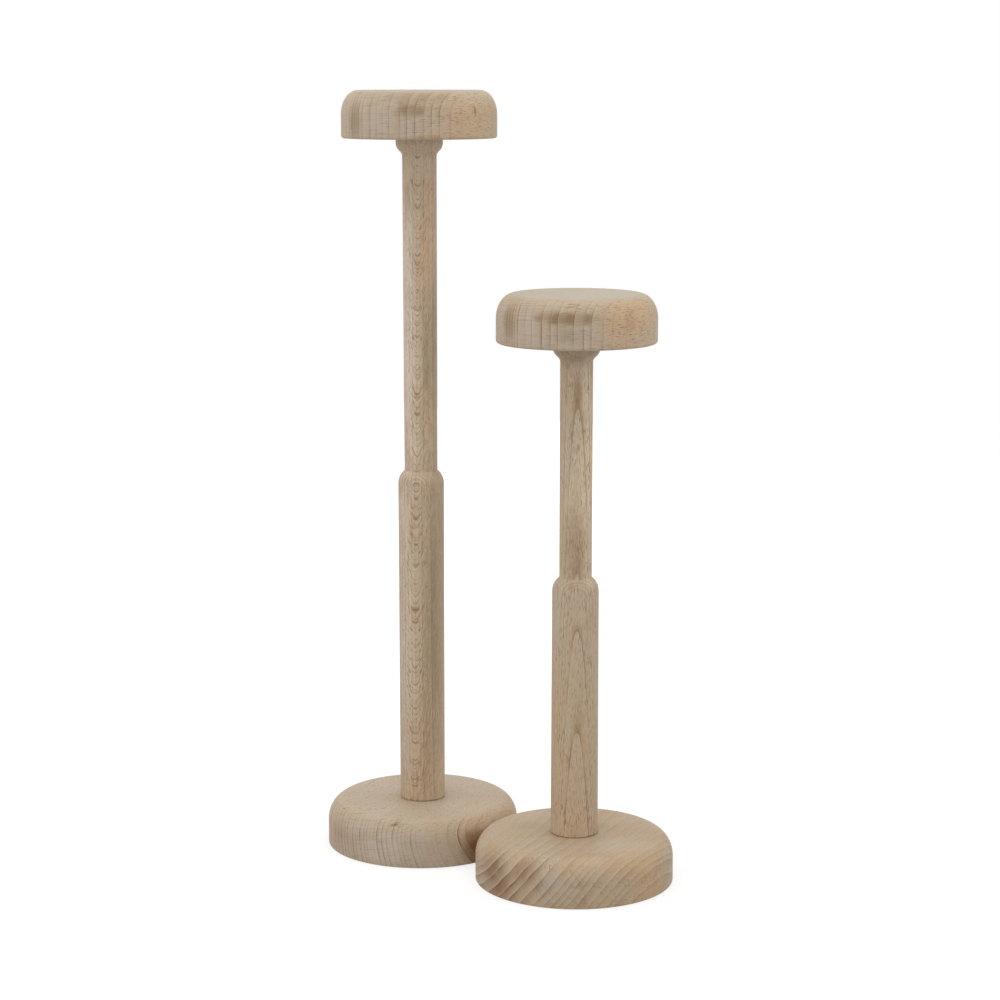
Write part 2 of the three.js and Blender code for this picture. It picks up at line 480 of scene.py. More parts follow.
# %% The scale and strength of each layer
drift_scale = (1 / 20, 1 / 20, 1 / 55)
drift_detail = 3.0
drift_limits = (0.35, 0.7)
cloud_scale = (1 / 8, 1 / 8, 1 / 20)
patchy_limits = (0.3, 0.7)
ring_least_share = 0.55
ring_share_spread = 0.8
ray_least_share = 0.5
ray_share_spread = 0.75
silk_scale = (0.07, 9, 0.1)
silk_noise = 0.65
silk_dark_limits = (0.5, 0.72)
silk_pale_limits = (0.5, 0.3)
fibre_scale = (1.7, 1.7, 0.16)
pore_scale = (5.5, 5.5, 0.5)
hair_noise = 0.6
pore_limits = (0.52, 0.75)
ray_height = 0.4
grain_strength = 0.35
grain_depth = 0.08 * MM
wood_roughness = 0.56
pore_roughness = 0.1
ray_gloss = 0.08
wood_specular = 0.45


# %% The beech itself
def beech(name, board, look, marks=()):
    """Beech cut from one board."""
    material = bpy.data.materials.new(name)
    nodes = Nodes(material)
    place, straight, swayed = trunk_place(nodes, board, look["sway"], look["sway_size"])
    out, across, along = nodes.split(swayed)
    depth = out + across * across / (2 * board.bow)
    girth = across * board.fan / (out + board.fan)
    end_grain, quartered, flat, sanded = cut_shares(nodes, board)
    unsanded = 1 - sanded * look["sanded"]

    # Slow drifts of colour, longer along the trunk than across it
    drift = nodes.rise(nodes.noise(straight, drift_scale, drift_detail), *drift_limits)
    colour = nodes.mix(drift * look["drift"], beech_early, beech_warm)
    colour = nodes.mix(end_grain * look["end"], colour, beech_end)

    # Marks, some of them painted light and shade, and rings stronger in some places than others
    dark, spring, tone = ring_shades(nodes, board, depth, look)
    cloud = nodes.noise(straight, cloud_scale)
    patchy = nodes.rise(cloud, *patchy_limits)
    tone = 1 + (tone - 0.5) * look["ring_tone"]
    colour = add_marks(nodes, colour, board, marks, place, cloud, tone)
    dark = dark * (ring_least_share + ring_share_spread * patchy)
    colour = nodes.mix(dark * unsanded, colour, look["late"])
    colour = nodes.mix(spring * unsanded, colour, beech_spring)

    # Rays, which fade on end grain and where the cut runs along them
    rays = ray_shades(nodes, girth, along, look["rays"])
    rays = rays * (ray_least_share + ray_share_spread * patchy)
    rays = rays * (1 - look["end_fade"] * end_grain) * (1 - look["quarter_fade"] * quartered)
    colour = nodes.mix(rays, colour, beech_ray)

    # Silk, in dark and pale sheets
    sheet = nodes.node("ShaderNodeCombineXYZ", {}, {"X": out, "Y": girth, "Z": along})
    silk = nodes.noise(sheet, silk_scale, roughness=silk_noise)
    dark_silk = nodes.rise(silk, *silk_dark_limits) * look["silk"]
    pale_silk = nodes.rise(silk, *silk_pale_limits) * look["silk"]
    colour = nodes.mix(pale_silk, nodes.mix(dark_silk, colour, beech_silk), beech_spring)

    # Fibres and pores: hair lines in side grain, dots in end grain
    fibre = nodes.noise(straight, fibre_scale, roughness=hair_noise)
    shine = 1 + (fibre - 0.5) * look["fibre"]
    colour = nodes.node("ShaderNodeVectorMath", {"operation": "SCALE"}, {0: colour, "Scale": shine})
    pores = nodes.rise(nodes.noise(straight, pore_scale, roughness=hair_noise), *pore_limits)
    colour = nodes.mix(pores * look["pores"], colour, beech_late)

    # Sanding dust and painted light from above, on the flat faces
    colour = nodes.mix(flat * look["dust_and_top_light"], colour, look["dust_and_top_light_colour"])

    nodes.principled({
        "Base Color": colour,
        "Roughness": wood_roughness + pore_roughness * pores - ray_gloss * rays,
        "Normal": nodes.bump(1 - pores + ray_height * rays, grain_strength, grain_depth),
        "Specular IOR Level": wood_specular,
    })
    print(name, "has", len(nodes.tree.nodes), "nodes and", len(board.rings) - 1, "rings")
    return material


# %% [markdown]
# ## The wood of each piece
#
# The bases and discs are cut from planks, so their fibres lie level. The columns are cut along the
# trunk, so theirs stand upright. Which way the rings lie, and where each one ends, was read from
# the picture: on a disc's side they are upright lines, on the short base they run slanting over the
# edge, and on the short column, whose fibres lean a little, they come to the surface as tall
# arches. A ring is written as its place, in millimetres from the middle of the piece, and its
# strength. The short base's bow is negative, because the heart of its tree lay on the other side.

# %% The boards of the tall stand
base_middle = Vector((0, 0, 14 * MM))
disc_middle = 12 * MM

tall_disc_rings = [
    (-48, 0.3), (-42, 0.4), (-36, 0.3), (-31, 0.5), (-25, 0.3), (-20, 0.4), (-16, 0.8),
    (-12.5, 1.7), (-10, 1.8), (-6.5, 0.9), (-3.5, 0.8), (3, 0.6), (7.5, 0.45), (11.5, 0.4),
    (15.5, 0.65), (22, 0.7), (25.5, 0.8), (29.5, 0.95), (33.5, 0.35), (36.5, 0.75), (39.5, 0.75),
    (43, 0.35), (45.5, 0.15), (50, 0.05),
]
tall_disc_board = Board(
    Vector((tall.axis.x, 0, tall.disc_bottom + disc_middle)), heading(90), heading(0),
    bow=420, fan=420, height=140, rings=tall_disc_rings,
)
tall_base_rings = [
    (66, 0.3), (58, 0.5), (51, 0.4), (44, 0.8), (40, 0.3), (36.5, 0.5), (32.5, 0.6), (29, 0.8),
    (25.5, 0.5), (22.5, 0.7), (19.5, 0.3), (17.5, 0.8), (15, 0.5), (11.5, 0.65), (8, 0.6),
    (6, 0.65), (3.5, 0.35), (1, 0.3), (-1.5, 0.75), (-5, 0.65), (-8, 0.5), (-12, 0.85),
    (-15, 0.45), (-17.5, 0.6), (-19.5, 0.2), (-23, 0.65), (-26, 0.4), (-28, 0.2),
    (-31, 0.15), (-34, 0.2), (-36.5, 0.2), (-41.5, 0.15), (-46.5, 1), (-49.5, 0.4), (-53, 0.35),
    (-57, 0.3), (-61, 0.3), (-66, 0.1),
]
tall_base_board = Board(
    tall.axis + base_middle, Vector((-0.2, 0.976, 0.089)), Vector((-0.965, -0.18, -0.19)),
    bow=80, fan=400, height=520, rings=tall_base_rings,
)
tall_column_rings = [
    (-15, 0.3), (-12.5, 0.5), (-10.5, 0.4), (-7.5, 0.6), (-5.5, 0.4), (-3, 0.5), (-0.5, 0.6),
    (2, 0.4), (4.5, 0.6), (6.5, 0.5), (9, 0.7), (11.5, 0.5), (13, 0.6), (15, 0.4),
]
tall_column_fibre = Vector((0, 0, 1)) + heading(113.6) * 0.07
tall_column_board = Board(
    tall.axis, tall_column_fibre, heading(188.9),
    bow=90, fan=90, height=900, rings=tall_column_rings,
)

# %% The boards of the short stand
short_disc_rings = [
    (-48, 0.3), (-41, 0.4), (-36, 0.3), (-30, 0.5), (-26, 0.3), (-22, 0.4), (-18.5, 0.7),
    (-16, 1.5), (-13.5, 1), (-11, 1.9), (-9, 1.2), (-6.5, 1.5), (-0.5, 0.2), (4, 0.6),
    (10.5, 0.9), (15.5, 0.8), (19.5, 1), (23.5, 0.3), (27.5, 0.7), (32, 0.85), (35, 0.8),
    (39.5, 0.45), (42.5, 0.25), (46, 0.2), (50, 0.05),
]
short_disc_board = Board(
    Vector((short.axis.x, 0, short.disc_bottom + disc_middle)), heading(90), heading(0),
    bow=420, fan=420, height=1300, rings=short_disc_rings,
)
short_base_rings = [
    (66, 0.3), (58, 0.4), (51, 0.35), (44, 0.3), (38, 0.3), (33.5, 0.45), (30.5, 0.55),
    (26.5, 0.95), (21.5, 1), (15.5, 1), (9.5, 0.95), (4.5, 0.8), (-2, 0.6), (-8.5, 0.55),
    (-13.5, 0.5), (-17, 0.5), (-20, 0.45), (-23, 0.5), (-27, 0.5), (-32.5, 0.45),
    (-36, 0.4), (-40, 0.35), (-42.5, 0.3), (-48, 0.35), (-54, 0.3), (-60, 0.3), (-67, 0.3),
    (-75, 0.3),
]
short_base_board = Board(
    short.axis + base_middle, Vector((0.079, 0.942, 0.327)), Vector((-0.653, -0.199, 0.731)),
    bow=-158, fan=400, height=1700, rings=short_base_rings,
)
short_column_rings = [
    (-16, 0.5), (-14, 0.6), (-12.5, 0.8), (-11, 0.6), (-9, 0.8), (-7, 0.7), (-5, 0.8),
    (-3, 0.6), (-1.5, 0.7), (1, 0.8), (3.2, 0.65), (5.5, 0.5), (7.5, 0.6), (8.5, 0.8),
    (9.5, 0.6), (10.5, 0.8), (12, 1), (14, 0.9), (15.5, 0.8),
]
short_column_fibre = Vector((0, 0, 1)) + heading(-47.5) * 0.0225
short_column_board = Board(
    short.axis, short_column_fibre, heading(-47.5),
    bow=70, fan=70, height=2100, rings=short_column_rings,
)

# %% [markdown]
# Marks are small things that belong to one piece: a knot, a brown cloud, a warmer patch. Others
# are painted light and shade: a paler side where more light falls, a darker place in shade. Noise
# could scatter them, but the eye knows a piece of wood by where they are, so each is given its
# place. It has a heading from the axis, a distance and a height, in millimetres, and its reach
# outward, across and along the fibres. A later mark lies over an earlier one.


# %% Placing marks
def place_marks(stand, rows):
    """The marks of one piece, with their headings, distances and heights turned into places."""
    marks = []
    for degrees, distance, height, reach, colour, strength in rows:
        place = stand.axis + heading(degrees) * distance * MM + Vector((0, 0, height * MM))
        marks.append((place, reach, colour, strength))
    return marks


# %% Colours of the marks
brown_cloud = paint(140, 112, 78)
orange_patch = paint(209, 174, 136)
orange_brown = paint(176, 140, 102)
# The red-brown is the wood's own, and on the tall base also painted shade
red_brown = paint(140, 98, 58)
knot_brown = paint(112, 74, 42)
grey_smudge = paint(136, 126, 102)
# Painted light: a paler grey on the left of the rims, at the end grain, where the cool light falls
grey_end_painted_light = paint(198, 185, 172)
rose_patch = paint(150, 108, 78)
# Painted shade: olive for the right of the tall column, which the short stand keeps from the light
olive_painted_shade = paint(150, 134, 102)
# Painted light: the pale pinks make left sides paler, where more cool light falls
pink_grey_painted_light = paint(212, 195, 178)
pale_pink_painted_light = paint(226, 208, 190)
# Painted light: a paler side of a column, where more light falls
pale_painted_light = paint(224, 205, 173)
# Painted shade: the dark under a disc
painted_shade_brown = paint(106, 88, 64)

# %% The marks of each piece
tall_disc_marks = place_marks(tall, [
    # Painted light: the left of the rim paler and greyer
    (-80, 47.6, 453, (9, 12, 12), grey_end_painted_light, 0.6),
    (-103, 47.6, 455, (8, 14, 14), brown_cloud, 0.55),
    (-55, 47.6, 461.5, (13, 6, 18), brown_cloud, 0.6),
    (-41, 47.6, 445.5, (12, 2.2, 14), orange_brown, 0.6),
    (-14, 47.6, 456, (16, 22, 28), orange_patch, 0.4),
    (-51, 38, 469, (42, 6, 42), brown_cloud, 0.35),
    (-4.4, 47.6, 461, (10, 4.5, 1.4), knot_brown, 0.9),
])
short_disc_marks = place_marks(short, [
    # Painted light: the left of the rim paler and greyer
    (-88, 47.6, 342, (6, 12, 12), grey_end_painted_light, 0.6),
    (-108, 47.6, 342, (9, 14, 14), brown_cloud, 0.65),
    (-60, 47.6, 345.5, (25, 5.5, 28), brown_cloud, 0.8),
    (-57, 47.6, 336, (12, 7, 16), grey_smudge, 0.35),
    (-8, 47.6, 343, (16, 22, 30), orange_patch, 0.8),
    (-12, 47.6, 342, (12, 14, 5), orange_brown, 0.5),
])
tall_base_marks = place_marks(tall, [
    # Painted light: the left of the base's side paler, where more light falls
    (-76, 60, 9, (22, 14, 14), pink_grey_painted_light, 0.8),
    (-112, 60, 14, (16, 14, 20), orange_brown, 0.4),
    (-67, 57, 26, (5, 1.3, 6), knot_brown, 0.8),
    # Partly the wood's red-brown, partly painted shade where the short base keeps light off the side
    (-16, 60, 9, (8, 18, 18), red_brown, 0.95),
])
short_base_marks = place_marks(short, [
    # Painted light: the left of the rim paler and greyer
    (-66, 60, 17, (7, 12, 9), grey_end_painted_light, 0.4),
    (-105, 60, 20, (7, 5, 8), grey_smudge, 0.5),
    (-104, 60, 12, (24, 16, 28), rose_patch, 0.7),
    (-82, 58, 20, (9, 13, 16), rose_patch, 0.45),
    (-166, 31, 28, (14, 10, 16), grey_smudge, 0.4),
    (-4, 60, 13, (14, 16, 26), orange_patch, 0.65),
])
tall_column_marks = place_marks(tall, [
    # Painted shade: olive on the right, where the short stand keeps light off the column
    (-10, 15, 150, (13, 15, 190), olive_painted_shade, 0.85),
    (0, 11, 318, (9, 12, 70), olive_painted_shade, 0.75),
    # Painted light: the left of the column paler and pinker, where more light falls
    (-98, 14, 130, (9, 11, 260), pink_grey_painted_light, 0.85),
    (-104, 10, 330, (11, 12, 180), pale_pink_painted_light, 0.95),
    (-8, 10.5, 390, (9, 10, 55), orange_patch, 0.5),
    # Painted light: a paler band on the left
    (-72, 14, 120, (11, 11, 300), pale_painted_light, 0.35),
    (-60, 14, 60, (14, 12, 60), orange_brown, 0.25),
])
short_column_marks = place_marks(short, [
    (-51, 14, 32, (12, 16, 24), orange_patch, 0.3),
    # Painted light: the right of the short column paler, where more light falls
    (-8, 10, 250, (9, 7, 120), pale_painted_light, 0.95),
    (-35, 10, 250, (16, 16, 90), pale_painted_light, 0.35),
    # Painted shade: the collar and the top of the neck darker under the disc
    (-51, 12, 325, (26, 26, 15), painted_shade_brown, 0.4),
    (-49, 10, 298, (6, 4, 16), brown_cloud, 0.5),
    (-51, 11, 205, (14, 14, 34), brown_cloud, 0.35),
])

# %% [markdown]
# A look says how much of each layer a piece shows. A ring darkens towards its end, softly in the
# band and sharply in the line, and it starts with pale spring wood. The higher the power of one of
# them, the narrower it is. Sway is in millimetres, over clouds of the sway size. Every look starts
# as the plank's and then changes what differs. Silk is strongest on the tall column, and the short
# base is cut so that its rings are broad bands.

# %% The look of a plank, and of the discs
plank_look = {
    "sway": (0.5, 0.5, 0.5),
    "sway_size": (14, 30, 40),
    "late": paint(122, 86, 48),
    "band": 0.25,
    "band_power": 1.6,
    "line": 0.95,
    "line_power": 7,
    "spring": 0.4,
    "spring_power": 9,
    "drift": 0.6,
    "end": 0.45,
    "rays": [(1.0, 6, 0.22, 0.75), (0.6, 3.5, 0.22, 0.5)],
    "end_fade": 0.6,
    "quarter_fade": 0.0,
    "ring_tone": 0.8,
    "silk": 0.24,
    "sanded": 0.5,
    "fibre": 0.4,
    "pores": 0.3,
    "dust_and_top_light": 0.45,
    "dust_and_top_light_colour": paint(199, 184, 164),
}
disc_look = {
    **plank_look,
    "sway": (0.5, 0.3, 0.5),
    "band": 0.16,
    "line": 0.75,
    "line_power": 9,
    "rays": [(0.8, 6.5, 0.22, 0.8), (0.5, 5, 0.24, 0.65)],
    "end_fade": 0.3,
    "quarter_fade": 0.6,
    "dust_and_top_light": 0.65,
    "dust_and_top_light_colour": paint(178, 170, 153),
}

# %% The looks of the columns
column_look = {
    **plank_look,
    "late": beech_late,
    "sway": (0.4, 0.9, 1.0),
    "sway_size": (16, 16, 42),
    "rays": [(0.55, 8, 0.26, 0.9), (0.35, 5, 0.26, 0.6)],
    "line": 0.6,
    "drift": 0.5,
    "sanded": 0.0,
    "dust_and_top_light": 0.0,
}
tall_column_look = {
    **column_look,
    "sway": (0.4, 0.3, 1.0),
    "rays": [(0.6, 6.5, 0.25, 0.65), (0.4, 4.5, 0.26, 0.5)],
    "drift": 0.4,
    "silk": 0.8,
}
short_column_look = {
    **column_look,
    "late": paint(134, 95, 58),
    "sway": (0.25, 0.15, 1.0),
    "line": 0.8,
    "line_power": 10,
    "band": 0.16,
    "spring": 0.25,
    "quarter_fade": 0.6,
}

# %% The looks of the bases
tall_base_look = {
    **plank_look,
    "band": 0.3,
    "line_power": 8,
    "rays": [(0.8, 5, 0.22, 0.7), (0.5, 3, 0.24, 0.55)],
    "end_fade": 0.55,
    "ring_tone": 0.3,
    "pores": 0.4,
}
short_base_look = {
    **plank_look,
    "late": paint(116, 80, 56),
    "band": 0.75,
    "band_power": 1.2,
    "line": 0.3,
    "spring": 0.6,
    "end": 0.1,
    "rays": [(0.8, 3.5, 0.25, 0.6), (0.45, 2.5, 0.24, 0.6)],
    "end_fade": 0.4,
    "quarter_fade": 0.85,
    "silk": 0.12,
    "sway": (1.8, 0.5, 0.5),
    "sway_size": (14, 14, 24),
    "drift": 0.8,
    "sanded": 0.6,
    "dust_and_top_light": 0.3,
    "dust_and_top_light_colour": paint(195, 175, 148),
}

# %% The beech of each piece
woods = {}
for stand, part, board, look, marks in (
    (tall, "disc", tall_disc_board, disc_look, tall_disc_marks),
    (short, "disc", short_disc_board, disc_look, short_disc_marks),
    (tall, "base", tall_base_board, tall_base_look, tall_base_marks),
    (short, "base", short_base_board, short_base_look, short_base_marks),
    (tall, "column", tall_column_board, tall_column_look, tall_column_marks),
    (short, "column", short_column_board, short_column_look, short_column_marks),
):
    woods[stand, part] = beech(stand.name + "_" + part + "_beech", board, look, marks)

# %% [markdown]
# ## Zinc-plated steel
#
# The screw is bright zinc plate over steel. Only its head shows, sunk in the underside of the base.
# Plain metal would look like a mirror, so fine scratches break up the gloss, and soft clouds turn
# the plate from bluish to yellowish.

# %% Zinc
zinc_blue = paint(196, 200, 206)
zinc_yellow = paint(214, 212, 205)
zinc_cloud_scale = (900, 900, 900)
zinc_cloud_detail = 3.0
scratch_scale = (9000, 1200, 2500)
scratch_strength = 0.25
scratch_depth = 0.02 * MM
zinc_roughness = 0.26
zinc_roughness_spread = 0.2

zinc_plate = bpy.data.materials.new("zinc_plate")
nodes = Nodes(zinc_plate)
place = nodes.coordinates("Object")
cloud = nodes.noise(place, zinc_cloud_scale, zinc_cloud_detail)
scratch = nodes.noise(place, scratch_scale)
nodes.principled({
    "Base Color": nodes.mix(cloud, zinc_blue, zinc_yellow),
    "Metallic": 1.0,
    "Roughness": zinc_roughness + zinc_roughness_spread * cloud,
    "Normal": nodes.bump(scratch, scratch_strength, scratch_depth),
})
print("zinc_plate has", len(nodes.tree.nodes), "nodes")

# %% [markdown]
# ## Turned pieces
#
# A lathe cuts a piece by its outline, and so does this: an outline of a few points and arcs is
# spun about the upright axis. A spin of a finer outline beats a subdivided cylinder here, because
# the corners stay where the real tool left them. Afterwards some sharp rings, such as the mouth of
# a mortise and the end of the shoulder, are eased with a small bevel: sanded wood has no knife edge.


# %% Outlines
lower_round_steps = 6
upper_edge_steps = 24


def arc(centre, reach, rise, start, end, steps):
    """Points along part of an ellipse, as (distance from the axis, height). Angles are degrees."""
    points = []
    for step in range(steps + 1):
        angle = math.radians(start + (end - start) * step / steps)
        points.append((centre[0] + reach * math.cos(angle), centre[1] + rise * math.sin(angle)))
    return points


def turned_edge(radius, bottom, top, lower_round, width, height):
    """The side of a base or disc: a small round below, and a wide soft round above."""
    lower_centre = (radius - lower_round, bottom + lower_round)
    upper_centre = (radius - width, top - height)
    return [
        *arc(lower_centre, lower_round, lower_round, -90, 0, lower_round_steps),
        *arc(upper_centre, width, height, 0, 90, upper_edge_steps),
    ]


# %% Spinning an outline
turn_steps = 192
weld_distance = 0.0005 * MM


def spin(outline, closed=False, steps=turn_steps):
    """Spins an outline about the upright axis. Points on the axis become poles."""
    bm = bmesh.new()
    points = [bm.verts.new((radius, 0, height)) for radius, height in outline]
    pairs = list(zip(points, points[1:]))
    if closed:
        pairs.append((points[-1], points[0]))
    lines = [bm.edges.new(pair) for pair in pairs]
    bmesh.ops.spin(
        bm, geom=points + lines, cent=(0, 0, 0), axis=(0, 0, 1), dvec=(0, 0, 0),
        angle=2 * math.pi, steps=steps, use_merge=True, use_duplicate=False,
    )
    bmesh.ops.remove_doubles(bm, verts=bm.verts, dist=weld_distance)
    bmesh.ops.recalc_face_normals(bm, faces=bm.faces)
    return bm


# %% Easing a sharp ring
ring_finder = 0.001 * MM
ease_segments = 3


def ease(bm, radius, height, width, segments=ease_segments):
    """Rounds off the sharp ring at this distance from the axis and this height."""
    def on_ring(corner):
        distance = math.hypot(corner.co.x, corner.co.y)
        return abs(distance - radius) < ring_finder and abs(corner.co.z - height) < ring_finder

    ring = [edge for edge in bm.edges if all(on_ring(corner) for corner in edge.verts)]
    bmesh.ops.bevel(
        bm, geom=ring, offset=width, offset_type="OFFSET", segments=segments,
        profile=0.5, affect="EDGES", material=-1, clamp_overlap=True,
    )
    print("eased", len(ring), "edges by", width / MM, "mm")


# %% Finishing a piece
sharp_angle = math.radians(32)


def finish_piece(bm, stand, part, material):
    """Places a shape on its stand, and makes it a piece that stands for its node of the frame."""
    bmesh.ops.translate(bm, verts=bm.verts, vec=stand.axis)
    for face in bm.faces:
        face.smooth = True
    for edge in bm.edges:
        edge.smooth = edge.calc_face_angle(0) < sharp_angle
    open_edges = sum(not edge.is_manifold for edge in bm.edges)
    name = stand.name + "_" + part
    mesh = bpy.data.meshes.new(name + "_skin")
    bm.to_mesh(mesh)
    volume = bm.calc_volume() / CM ** 3
    bm.free()
    mesh.materials.append(material)
    piece = bpy.data.objects.new(name + "_skin", mesh)
    bpy.context.scene.collection.objects.link(piece)
    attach(piece, stand.body)
    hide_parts(name)
    print(piece.name, "has", len(mesh.polygons), "faces and", open_edges, "open edges")
    print(piece.name, "takes up", round(volume, 2), "cm3")


# %% [markdown]
# ## The bases
#
# A base is a disc of beech, flat above and below. Its upper edge is a wide quarter oval, and its
# lower edge is only just rounded. In the middle a mortise takes the column's spigot, and below it a
# countersunk hole takes the screw. The holes could be cut out of a solid disc, but they are round
# the same axis, so they are part of one closed outline, and the spin leaves clean faces everywhere.

# %% Sizes of the bases and the holes in them
base_edge_width = 11 * MM
base_edge_height = 14 * MM
base_lower_round = 1 * MM
spigot_radius = 8 * MM
glue_clearance = 0.15 * MM
mortise_depth = 15 * MM
mortise_ease = 0.3 * MM
screw_head_rim = 0.4 * MM
screw_head_height = 3 * MM
screw_shank_radius = 1.9 * MM
screw_thread_radius = 2.5 * MM
screw_hole_clearance = 0.3 * MM
screw_hole_radius = screw_thread_radius + screw_hole_clearance
screw_mouth_ease = 0.25 * MM


# %% The bases
def base_skin(stand):
    """A base, with the mortise in its top and the countersunk screw hole below."""
    mortise_radius = spigot_radius + glue_clearance
    mortise_floor = stand.base_top - mortise_depth
    mouth_radius = stand.screw_head_radius + screw_hole_clearance
    cone_slope = screw_head_height / (stand.screw_head_radius - screw_shank_radius)
    cone_bottom = stand.screw_bottom + screw_head_rim
    cone_top = cone_bottom + (mouth_radius - screw_hole_radius) * cone_slope
    edge = turned_edge(
        stand.base_radius, 0, stand.base_top, base_lower_round, base_edge_width, base_edge_height
    )
    bm = spin([
        (mouth_radius, 0),
        *edge,
        (mortise_radius, stand.base_top),
        (mortise_radius, mortise_floor),
        (screw_hole_radius, mortise_floor),
        (screw_hole_radius, cone_top),
        (mouth_radius, cone_bottom),
    ], closed=True)
    ease(bm, mouth_radius, 0, screw_mouth_ease)
    ease(bm, mortise_radius, stand.base_top, mortise_ease)
    return bm


for stand in stands:
    finish_piece(base_skin(stand), stand, "base", woods[stand, "base"])

# %% [markdown]
# ## The columns
#
# Each column is one turning. From the foot up it has a thick lower part, a shoulder that rolls in
# like a quarter of a ball, a thinner upper part, and a collar under the disc. The collar's
# underside is a hollow cove that runs without a break into a round. The spigot, the screw's pilot
# hole and the dowel hole are out of sight, and are there all the same. The foot is cut back a
# little under its edge, so that it closes on the base in a fine dark line.

# %% The shoulder and the collar
shoulder_round = 10.5 * MM
shoulder_steps = 16
collar_band = 2.6 * MM
collar_round = 7.2 * MM
collar_round_steps = 12
collar_cove = 4.2 * MM
collar_cove_steps = 10


def shoulder(stand):
    """The roll from the side of the lower part to the upper part."""
    step = stand.lower_radius - stand.upper_radius
    end = math.degrees(math.acos(1 - step / shoulder_round))
    centre = (stand.lower_radius - shoulder_round, stand.shoulder_height)
    return arc(centre, shoulder_round, shoulder_round, 0, end, shoulder_steps)


def collar(stand):
    """The cove out of the neck, the round, and the straight band on top."""
    both = collar_round + collar_cove
    meet = math.degrees(math.acos(1 - (stand.collar_radius - stand.neck_radius) / both))
    round_centre = (stand.collar_radius - collar_round, stand.column_top - collar_band)
    cove_height = round_centre[1] - both * math.sin(math.radians(meet))
    cove_centre = (stand.neck_radius + collar_cove, cove_height)
    return [
        *arc(cove_centre, collar_cove, collar_cove, 180, 180 - meet, collar_cove_steps),
        *arc(round_centre, collar_round, collar_round, -meet, 0, collar_round_steps)[1:],
        (stand.collar_radius, stand.column_top),
    ]


# %% The columns
foot_gap_depth = 0.9 * MM
foot_gap_height = 0.35 * MM
foot_ease = 0.4 * MM
spigot_chamfer = 1 * MM
pilot_end_room = 1.5 * MM
dowel_end_room = 0.5 * MM
shoulder_ease = 0.5 * MM
shoulder_ease_segments = 4
column_steps = 160


def column_skin(stand):
    """A column, from the pilot hole in its foot round to the dowel hole in its top."""
    pilot_radius = screw_thread_radius + glue_clearance
    pilot_end = stand.screw_top + pilot_end_room
    dowel_hole_radius = stand.dowel_radius + glue_clearance
    dowel_hole_floor = stand.dowel_bottom - dowel_end_room
    shoulder_points = shoulder(stand)
    bm = spin([
        (0, pilot_end),
        (pilot_radius, pilot_end),
        (pilot_radius, stand.spigot_end),
        (spigot_radius - spigot_chamfer, stand.spigot_end),
        (spigot_radius, stand.spigot_end + spigot_chamfer),
        (spigot_radius, stand.base_top),
        (stand.foot_radius - foot_gap_depth, stand.base_top),
        (stand.foot_radius - foot_gap_depth, stand.base_top + foot_gap_height),
        (stand.foot_radius - foot_ease, stand.base_top + foot_gap_height),
        (stand.foot_radius, stand.base_top + foot_gap_height + foot_ease),
        *shoulder_points,
        *collar(stand),
        (dowel_hole_radius, stand.column_top),
        (dowel_hole_radius, dowel_hole_floor),
        (0, dowel_hole_floor),
    ], steps=column_steps)
    ease(bm, *shoulder_points[-1], shoulder_ease, shoulder_ease_segments)
    return bm


for stand in stands:
    finish_piece(column_skin(stand), stand, "column", woods[stand, "column"])

# %% [markdown]
# ## The discs
#
# The disc sits inside the crown of a hat, so its top is flat and its upper edge is rolled wide, to
# leave no ring in the felt. A blind hole in its underside takes the dowel pin. Its top is whole, so
# the outline starts and ends on the axis, and the spin closes it there.

# %% The discs
disc_edge_width = 10.5 * MM
disc_edge_height = 14.8 * MM
disc_lower_round = 1.8 * MM


def disc_skin(stand):
    """A disc, with the blind hole for the dowel pin in its underside."""
    hole_radius = stand.dowel_radius + glue_clearance
    hole_top = stand.dowel_top + dowel_end_room
    edge = turned_edge(
        stand.disc_radius, stand.disc_bottom, stand.disc_top, disc_lower_round, disc_edge_width,
        disc_edge_height,
    )
    return spin([
        (0, hole_top),
        (hole_radius, hole_top),
        (hole_radius, stand.disc_bottom),
        *edge,
        (0, stand.disc_top),
    ])


for stand in stands:
    finish_piece(disc_skin(stand), stand, "disc", woods[stand, "disc"])

# %% [markdown]
# ## The screws
#
# A countersunk wood screw stands head down in each base. Its body is one more spin: a flat head
# with a thin rim, a cone, a plain shank, a narrower core and a tip. The thread is a small triangle
# that is spun round the axis while it climbs, which the spin operator does in one go, and it's
# drawn in towards the axis at both ends, as a rolled thread is.

# %% The screw's body
screw_steps = 48
screw_core_radius = 1.6 * MM
screw_plain_length = 22 * MM
screw_tip_length = 5 * MM
level_finder = 0.01 * MM


def level_faces(bm, level):
    """The faces whose middle is at this height."""
    return [face for face in bm.faces if abs(face.calc_center_median().z - level) < level_finder]


def screw_body(stand):
    """A countersunk screw, head down, with an n-gon left under its head for the recess."""
    head_top = stand.screw_bottom + screw_head_rim + screw_head_height
    plain_end = stand.screw_bottom + screw_plain_length
    core_end = stand.screw_top - screw_tip_length
    neck_in = screw_shank_radius - screw_core_radius
    bm = spin([
        (0, stand.screw_bottom),
        (stand.screw_head_radius, stand.screw_bottom),
        (stand.screw_head_radius, stand.screw_bottom + screw_head_rim),
        (screw_shank_radius, head_top),
        (screw_shank_radius, plain_end - neck_in),
        (screw_core_radius, plain_end),
        (screw_core_radius, core_end),
        (0, stand.screw_top),
    ], steps=screw_steps)
    bmesh.ops.dissolve_faces(bm, faces=level_faces(bm, stand.screw_bottom), use_verts=True)
    return bm


# %% The cross recess
cross_span = 4.8 * MM
cross_width = 1.1 * MM
cross_depth = 2 * MM


